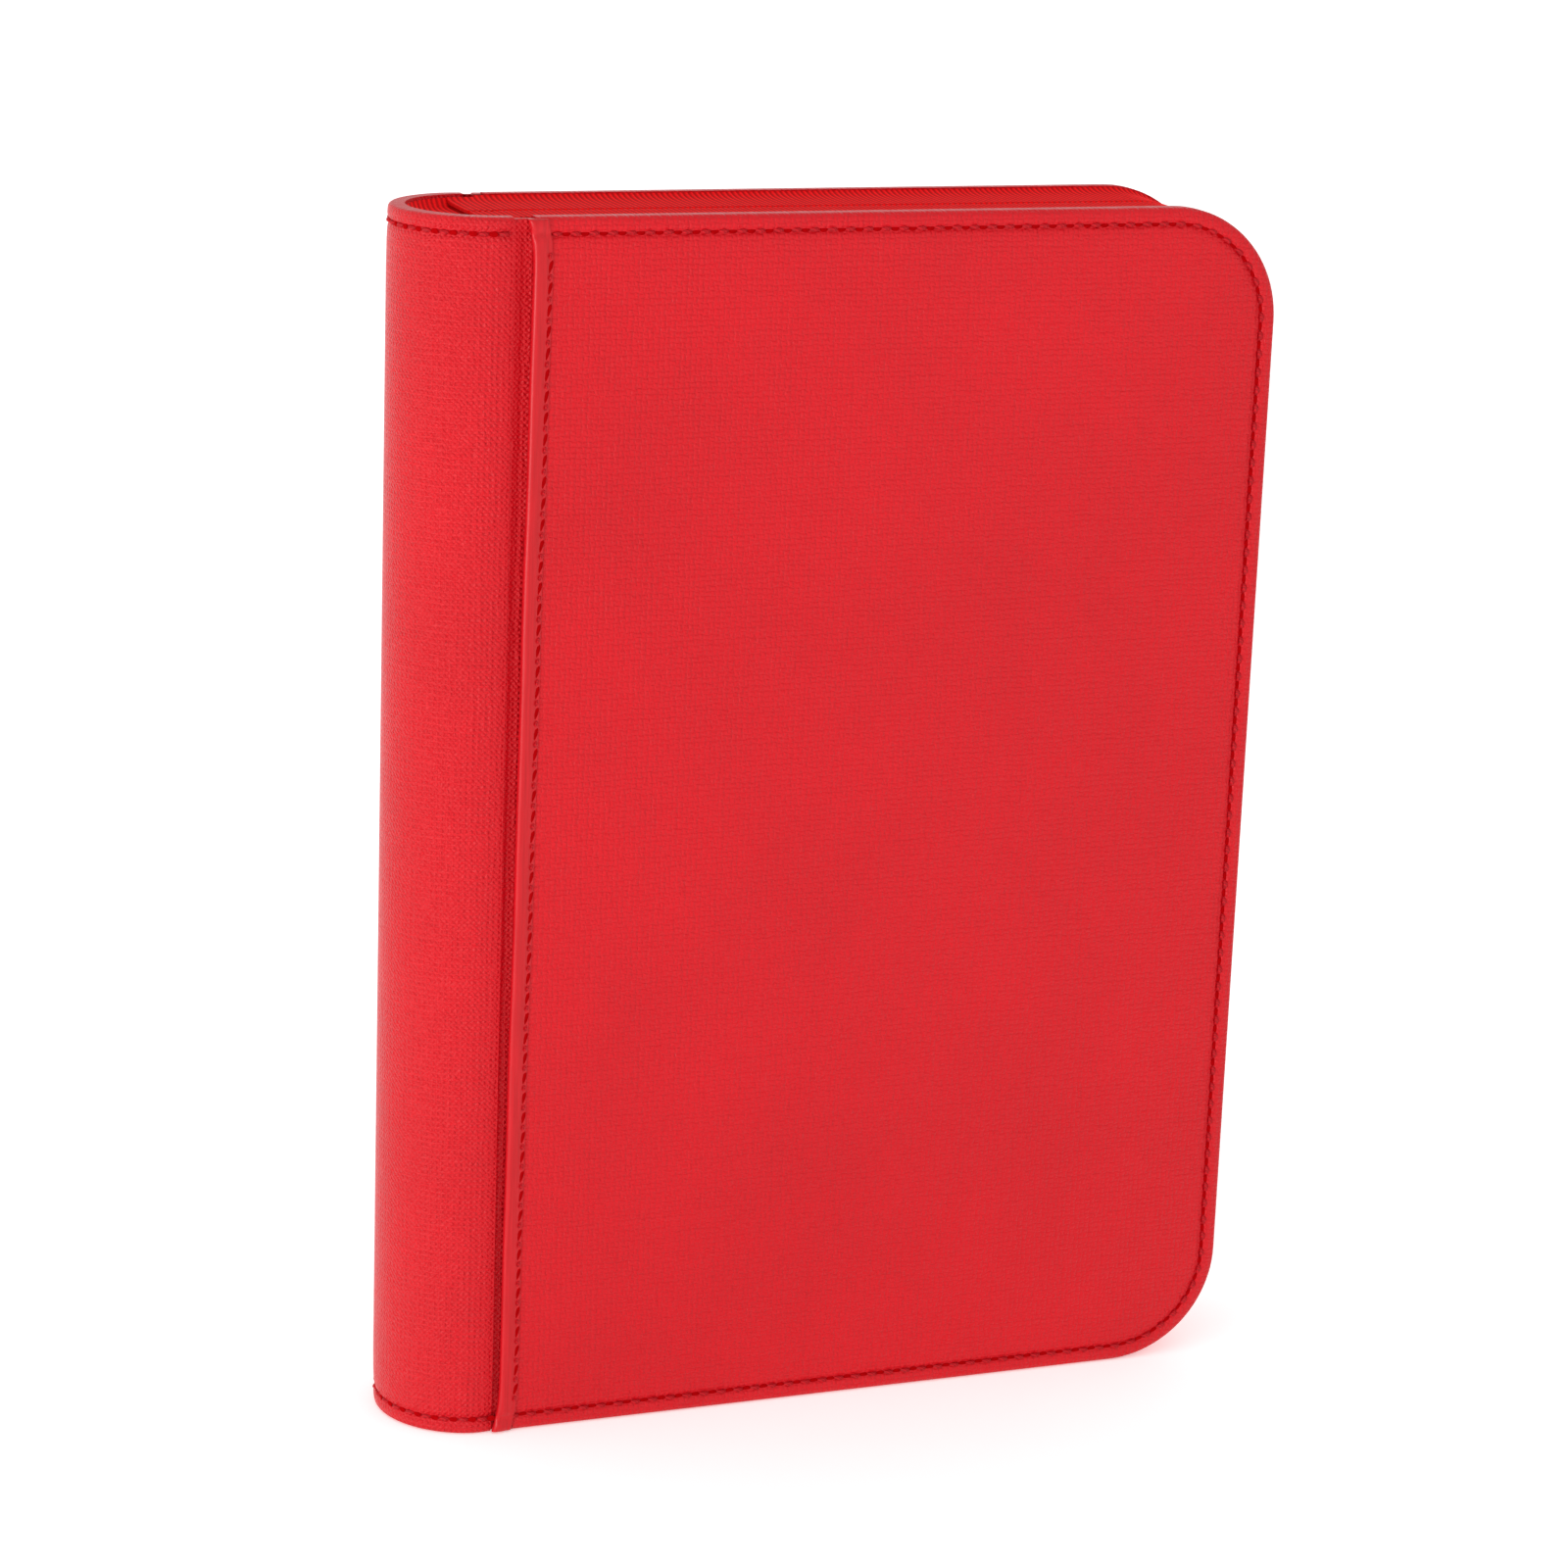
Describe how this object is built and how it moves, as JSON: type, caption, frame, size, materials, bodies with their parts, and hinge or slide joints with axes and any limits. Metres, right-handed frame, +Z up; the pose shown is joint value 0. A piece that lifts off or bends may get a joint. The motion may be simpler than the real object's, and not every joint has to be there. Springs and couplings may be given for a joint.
{
  "type": "trading card binder",
  "caption": "Zip-around trading card binder with a half-round padded spine, two hinged covers and side-loading four-pocket leaves.",
  "frame": {"origin": "centre of the bottom edge of the closed binder, on the surface it stands on", "axes": "+Z up along the spine, +X from the spine to the fore-edge, the front cover faces -Y"},
  "size_m": [0.1652, 0.0344, 0.226],
  "materials": {
    "skin": "red artificial leather with a fine linen emboss, semi-matt",
    "foam": "soft closed-cell foam",
    "board": "dense grey board",
    "lining": "black woven nylon",
    "zip_tape": "dark red ribbed zip tape",
    "zip_coil": "dark red nylon coil",
    "zip_metal": "black enamelled zinc",
    "thread": "red bonded polyester thread",
    "webbing": "black woven webbing",
    "film": "clear polypropylene pocket film"
  },
  "bodies": {
    "spine": {"spine_skin": "skin", "spine_foam": "foam", "spine_board": "board", "spine_lining": "lining", "front_hinge_fold": "skin", "rear_hinge_fold": "skin", "spine_head_gusset": "zip_tape", "spine_foot_gusset": "zip_tape", "spine_stitching": "thread", "leaf_margins": "film", "front_binding_web": "webbing", "rear_binding_web": "webbing", "binding_stitching": "thread"},
    "front_cover": {"front_cover_skin": "skin", "front_cover_foam": "foam", "front_cover_board": "board", "front_cover_lining": "lining", "front_zip_tape": "zip_tape", "front_zip_coil": "zip_coil", "front_zip_stops": "zip_metal", "front_edge_stitching": "thread", "front_fold_stitching": "thread"},
    "rear_cover": {"rear_cover_skin": "skin", "rear_cover_foam": "foam", "rear_cover_board": "board", "rear_cover_lining": "lining", "rear_zip_tape": "zip_tape", "rear_zip_coil": "zip_coil", "rear_zip_stops": "zip_metal", "rear_edge_stitching": "thread", "rear_fold_stitching": "thread"},
    "slider": {"zip_slider": "zip_metal"},
    "pull": {"zip_pull": "zip_metal"},
    "leaf_01": {"leaf_01": "film"},
    "leaf_02": {"leaf_02": "film"},
    "leaf_03": {"leaf_03": "film"},
    "leaf_04": {"leaf_04": "film"},
    "leaf_05": {"leaf_05": "film"},
    "leaf_06": {"leaf_06": "film"},
    "leaf_07": {"leaf_07": "film"},
    "leaf_08": {"leaf_08": "film"},
    "leaf_09": {"leaf_09": "film"},
    "leaf_10": {"leaf_10": "film"},
    "leaf_11": {"leaf_11": "film"},
    "leaf_12": {"leaf_12": "film"},
    "leaf_13": {"leaf_13": "film"},
    "leaf_14": {"leaf_14": "film"},
    "leaf_15": {"leaf_15": "film"},
    "leaf_16": {"leaf_16": "film"},
    "leaf_17": {"leaf_17": "film"},
    "leaf_18": {"leaf_18": "film"},
    "leaf_19": {"leaf_19": "film"},
    "leaf_20": {"leaf_20": "film"}
  },
  "joints": [
    {"name": "front_cover_hinge", "type": "hinge", "parent": "spine", "child": "front_cover", "pos_m": [-0.0641, -0.0157, 0.113], "axis": [0, 0, -1], "range_deg": [0, 90]},
    {"name": "rear_cover_hinge", "type": "hinge", "parent": "spine", "child": "rear_cover", "pos_m": [-0.0641, 0.0157, 0.113], "axis": [0, 0, 1], "range_deg": [0, 90]},
    {"name": "zip_slide", "type": "slide", "parent": "rear_cover", "child": "slider", "axis": [1, 0, 0], "range_m": [0, 0.076]},
    {"name": "pull_hinge", "type": "hinge", "parent": "slider", "child": "pull", "pos_m": [-0.0509, 0, 0.0028], "axis": [0, 1, 0], "range_deg": [0, 180]},
    {"name": "leaf_01_turn", "type": "hinge", "parent": "spine", "child": "leaf_01", "pos_m": [-0.0605, -0.01235, 0.113], "axis": [0, 0, -1], "range_deg": [0, 70.01]},
    {"name": "leaf_02_turn", "type": "hinge", "parent": "spine", "child": "leaf_02", "pos_m": [-0.0605, -0.01105, 0.113], "axis": [0, 0, -1], "range_deg": [0, 63.01]},
    {"name": "leaf_03_turn", "type": "hinge", "parent": "spine", "child": "leaf_03", "pos_m": [-0.0605, -0.00975, 0.113], "axis": [0, 0, -1], "range_deg": [0, 56.01]},
    {"name": "leaf_04_turn", "type": "hinge", "parent": "spine", "child": "leaf_04", "pos_m": [-0.0605, -0.00845, 0.113], "axis": [0, 0, -1], "range_deg": [0, 49.01]},
    {"name": "leaf_05_turn", "type": "hinge", "parent": "spine", "child": "leaf_05", "pos_m": [-0.0605, -0.00715, 0.113], "axis": [0, 0, -1], "range_deg": [0, 42.01]},
    {"name": "leaf_06_turn", "type": "hinge", "parent": "spine", "child": "leaf_06", "pos_m": [-0.0605, -0.00585, 0.113], "axis": [0, 0, -1], "range_deg": [0, 35.01]},
    {"name": "leaf_07_turn", "type": "hinge", "parent": "spine", "child": "leaf_07", "pos_m": [-0.0605, -0.00455, 0.113], "axis": [0, 0, -1], "range_deg": [0, 28.01]},
    {"name": "leaf_08_turn", "type": "hinge", "parent": "spine", "child": "leaf_08", "pos_m": [-0.0605, -0.00325, 0.113], "axis": [0, 0, -1], "range_deg": [0, 21.01]},
    {"name": "leaf_09_turn", "type": "hinge", "parent": "spine", "child": "leaf_09", "pos_m": [-0.0605, -0.00195, 0.113], "axis": [0, 0, -1], "range_deg": [0, 14.01]},
    {"name": "leaf_10_turn", "type": "hinge", "parent": "spine", "child": "leaf_10", "pos_m": [-0.0605, -0.00065, 0.113], "axis": [0, 0, -1], "range_deg": [0, 7.01]},
    {"name": "leaf_11_turn", "type": "hinge", "parent": "spine", "child": "leaf_11", "pos_m": [-0.0605, 0.00065, 0.113], "axis": [0, 0, 1], "range_deg": [0, 7.01]},
    {"name": "leaf_12_turn", "type": "hinge", "parent": "spine", "child": "leaf_12", "pos_m": [-0.0605, 0.00195, 0.113], "axis": [0, 0, 1], "range_deg": [0, 14.01]},
    {"name": "leaf_13_turn", "type": "hinge", "parent": "spine", "child": "leaf_13", "pos_m": [-0.0605, 0.00325, 0.113], "axis": [0, 0, 1], "range_deg": [0, 21.01]},
    {"name": "leaf_14_turn", "type": "hinge", "parent": "spine", "child": "leaf_14", "pos_m": [-0.0605, 0.00455, 0.113], "axis": [0, 0, 1], "range_deg": [0, 28.01]},
    {"name": "leaf_15_turn", "type": "hinge", "parent": "spine", "child": "leaf_15", "pos_m": [-0.0605, 0.00585, 0.113], "axis": [0, 0, 1], "range_deg": [0, 35.01]},
    {"name": "leaf_16_turn", "type": "hinge", "parent": "spine", "child": "leaf_16", "pos_m": [-0.0605, 0.00715, 0.113], "axis": [0, 0, 1], "range_deg": [0, 42.01]},
    {"name": "leaf_17_turn", "type": "hinge", "parent": "spine", "child": "leaf_17", "pos_m": [-0.0605, 0.00845, 0.113], "axis": [0, 0, 1], "range_deg": [0, 49.01]},
    {"name": "leaf_18_turn", "type": "hinge", "parent": "spine", "child": "leaf_18", "pos_m": [-0.0605, 0.00975, 0.113], "axis": [0, 0, 1], "range_deg": [0, 56.01]},
    {"name": "leaf_19_turn", "type": "hinge", "parent": "spine", "child": "leaf_19", "pos_m": [-0.0605, 0.01105, 0.113], "axis": [0, 0, 1], "range_deg": [0, 63.01]},
    {"name": "leaf_20_turn", "type": "hinge", "parent": "spine", "child": "leaf_20", "pos_m": [-0.0605, 0.01235, 0.113], "axis": [0, 0, 1], "range_deg": [0, 70.01]}
  ],
  "couplings": [
    {"joint": "leaf_01_turn", "follows": "front_cover_hinge", "ratio": 0.77778},
    {"joint": "leaf_02_turn", "follows": "front_cover_hinge", "ratio": 0.7},
    {"joint": "leaf_03_turn", "follows": "front_cover_hinge", "ratio": 0.62222},
    {"joint": "leaf_04_turn", "follows": "front_cover_hinge", "ratio": 0.54444},
    {"joint": "leaf_05_turn", "follows": "front_cover_hinge", "ratio": 0.46667},
    {"joint": "leaf_06_turn", "follows": "front_cover_hinge", "ratio": 0.38889},
    {"joint": "leaf_07_turn", "follows": "front_cover_hinge", "ratio": 0.31111},
    {"joint": "leaf_08_turn", "follows": "front_cover_hinge", "ratio": 0.23333},
    {"joint": "leaf_09_turn", "follows": "front_cover_hinge", "ratio": 0.15556},
    {"joint": "leaf_10_turn", "follows": "front_cover_hinge", "ratio": 0.077778},
    {"joint": "leaf_11_turn", "follows": "rear_cover_hinge", "ratio": 0.077778},
    {"joint": "leaf_12_turn", "follows": "rear_cover_hinge", "ratio": 0.15556},
    {"joint": "leaf_13_turn", "follows": "rear_cover_hinge", "ratio": 0.23333},
    {"joint": "leaf_14_turn", "follows": "rear_cover_hinge", "ratio": 0.31111},
    {"joint": "leaf_15_turn", "follows": "rear_cover_hinge", "ratio": 0.38889},
    {"joint": "leaf_16_turn", "follows": "rear_cover_hinge", "ratio": 0.46667},
    {"joint": "leaf_17_turn", "follows": "rear_cover_hinge", "ratio": 0.54444},
    {"joint": "leaf_18_turn", "follows": "rear_cover_hinge", "ratio": 0.62222},
    {"joint": "leaf_19_turn", "follows": "rear_cover_hinge", "ratio": 0.7},
    {"joint": "leaf_20_turn", "follows": "rear_cover_hinge", "ratio": 0.77778}
  ]
}
